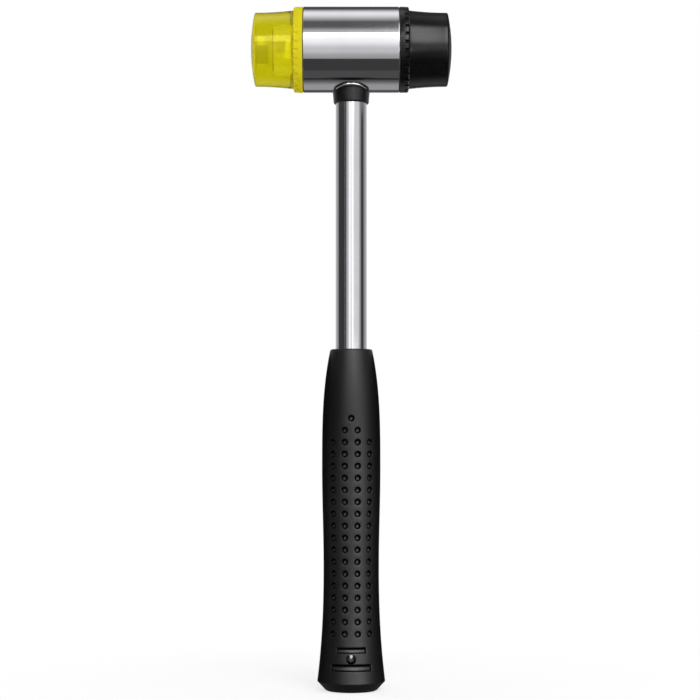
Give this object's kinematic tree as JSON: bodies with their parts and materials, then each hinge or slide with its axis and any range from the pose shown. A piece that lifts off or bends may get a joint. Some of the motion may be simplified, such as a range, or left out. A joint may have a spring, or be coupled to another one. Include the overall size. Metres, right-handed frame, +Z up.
{
  "type": "soft face hammer",
  "caption": "Soft face hammer: a plated steel barrel with a translucent plastic face and a rubber face that screw in from its ends, on a plated tube handle with a dimpled moulded grip.",
  "frame": {"origin": "centre of the flat butt at the lower end of the grip", "axes": "+Z up the handle towards the head, +X along the barrel towards the black rubber face, -X towards the yellow face"},
  "size_m": [0.0822, 0.035, 0.2783],
  "materials": {
    "plated_steel": "bright nickel-chrome plating on steel",
    "yellow_plastic": "clear yellow moulded plastic",
    "black_rubber": "smooth moulded rubber",
    "nylon_core": "natural nylon",
    "fibre_washer": "black fibre",
    "collar_plastic": "glossy black moulded plastic",
    "bare_steel": "turned steel",
    "cap_plastic": "moulded plastic",
    "grip_vinyl": "satin black moulded vinyl"
  },
  "bodies": {
    "barrel_and_handle": {"head_body": "plated_steel", "neck_collar": "collar_plastic", "handle_tube": "plated_steel", "tube_plug": "bare_steel", "handle_pin": "bare_steel", "tube_end_cap": "cap_plastic", "grip": "grip_vinyl"},
    "yellow_washer": {"yellow_face_washer": "fibre_washer"},
    "yellow_striker": {"yellow_face": "yellow_plastic"},
    "black_washer": {"black_face_washer": "fibre_washer"},
    "black_striker": {"black_face": "black_rubber", "black_face_core": "nylon_core"}
  },
  "joints": [
    {"name": "yellow_face_travel", "type": "slide", "parent": "barrel_and_handle", "child": "yellow_washer", "axis": [-1, 0, 0], "range_m": [0, 0.00875]},
    {"name": "yellow_face_turn", "type": "hinge", "parent": "yellow_washer", "child": "yellow_striker", "pos_m": [-0.0198, 0, 0.2608], "axis": [-1, 0, 0], "range_deg": [0, 1260]},
    {"name": "black_face_travel", "type": "slide", "parent": "barrel_and_handle", "child": "black_washer", "axis": [1, 0, 0], "range_m": [0, 0.00875]},
    {"name": "black_face_turn", "type": "hinge", "parent": "black_washer", "child": "black_striker", "pos_m": [0.0198, 0, 0.2608], "axis": [1, 0, 0], "range_deg": [0, 1260]}
  ],
  "couplings": [
    {"joint": "yellow_face_travel", "follows": "yellow_face_turn", "m_per_rad": 0.00039789},
    {"joint": "black_face_travel", "follows": "black_face_turn", "m_per_rad": 0.00039789}
  ]
}
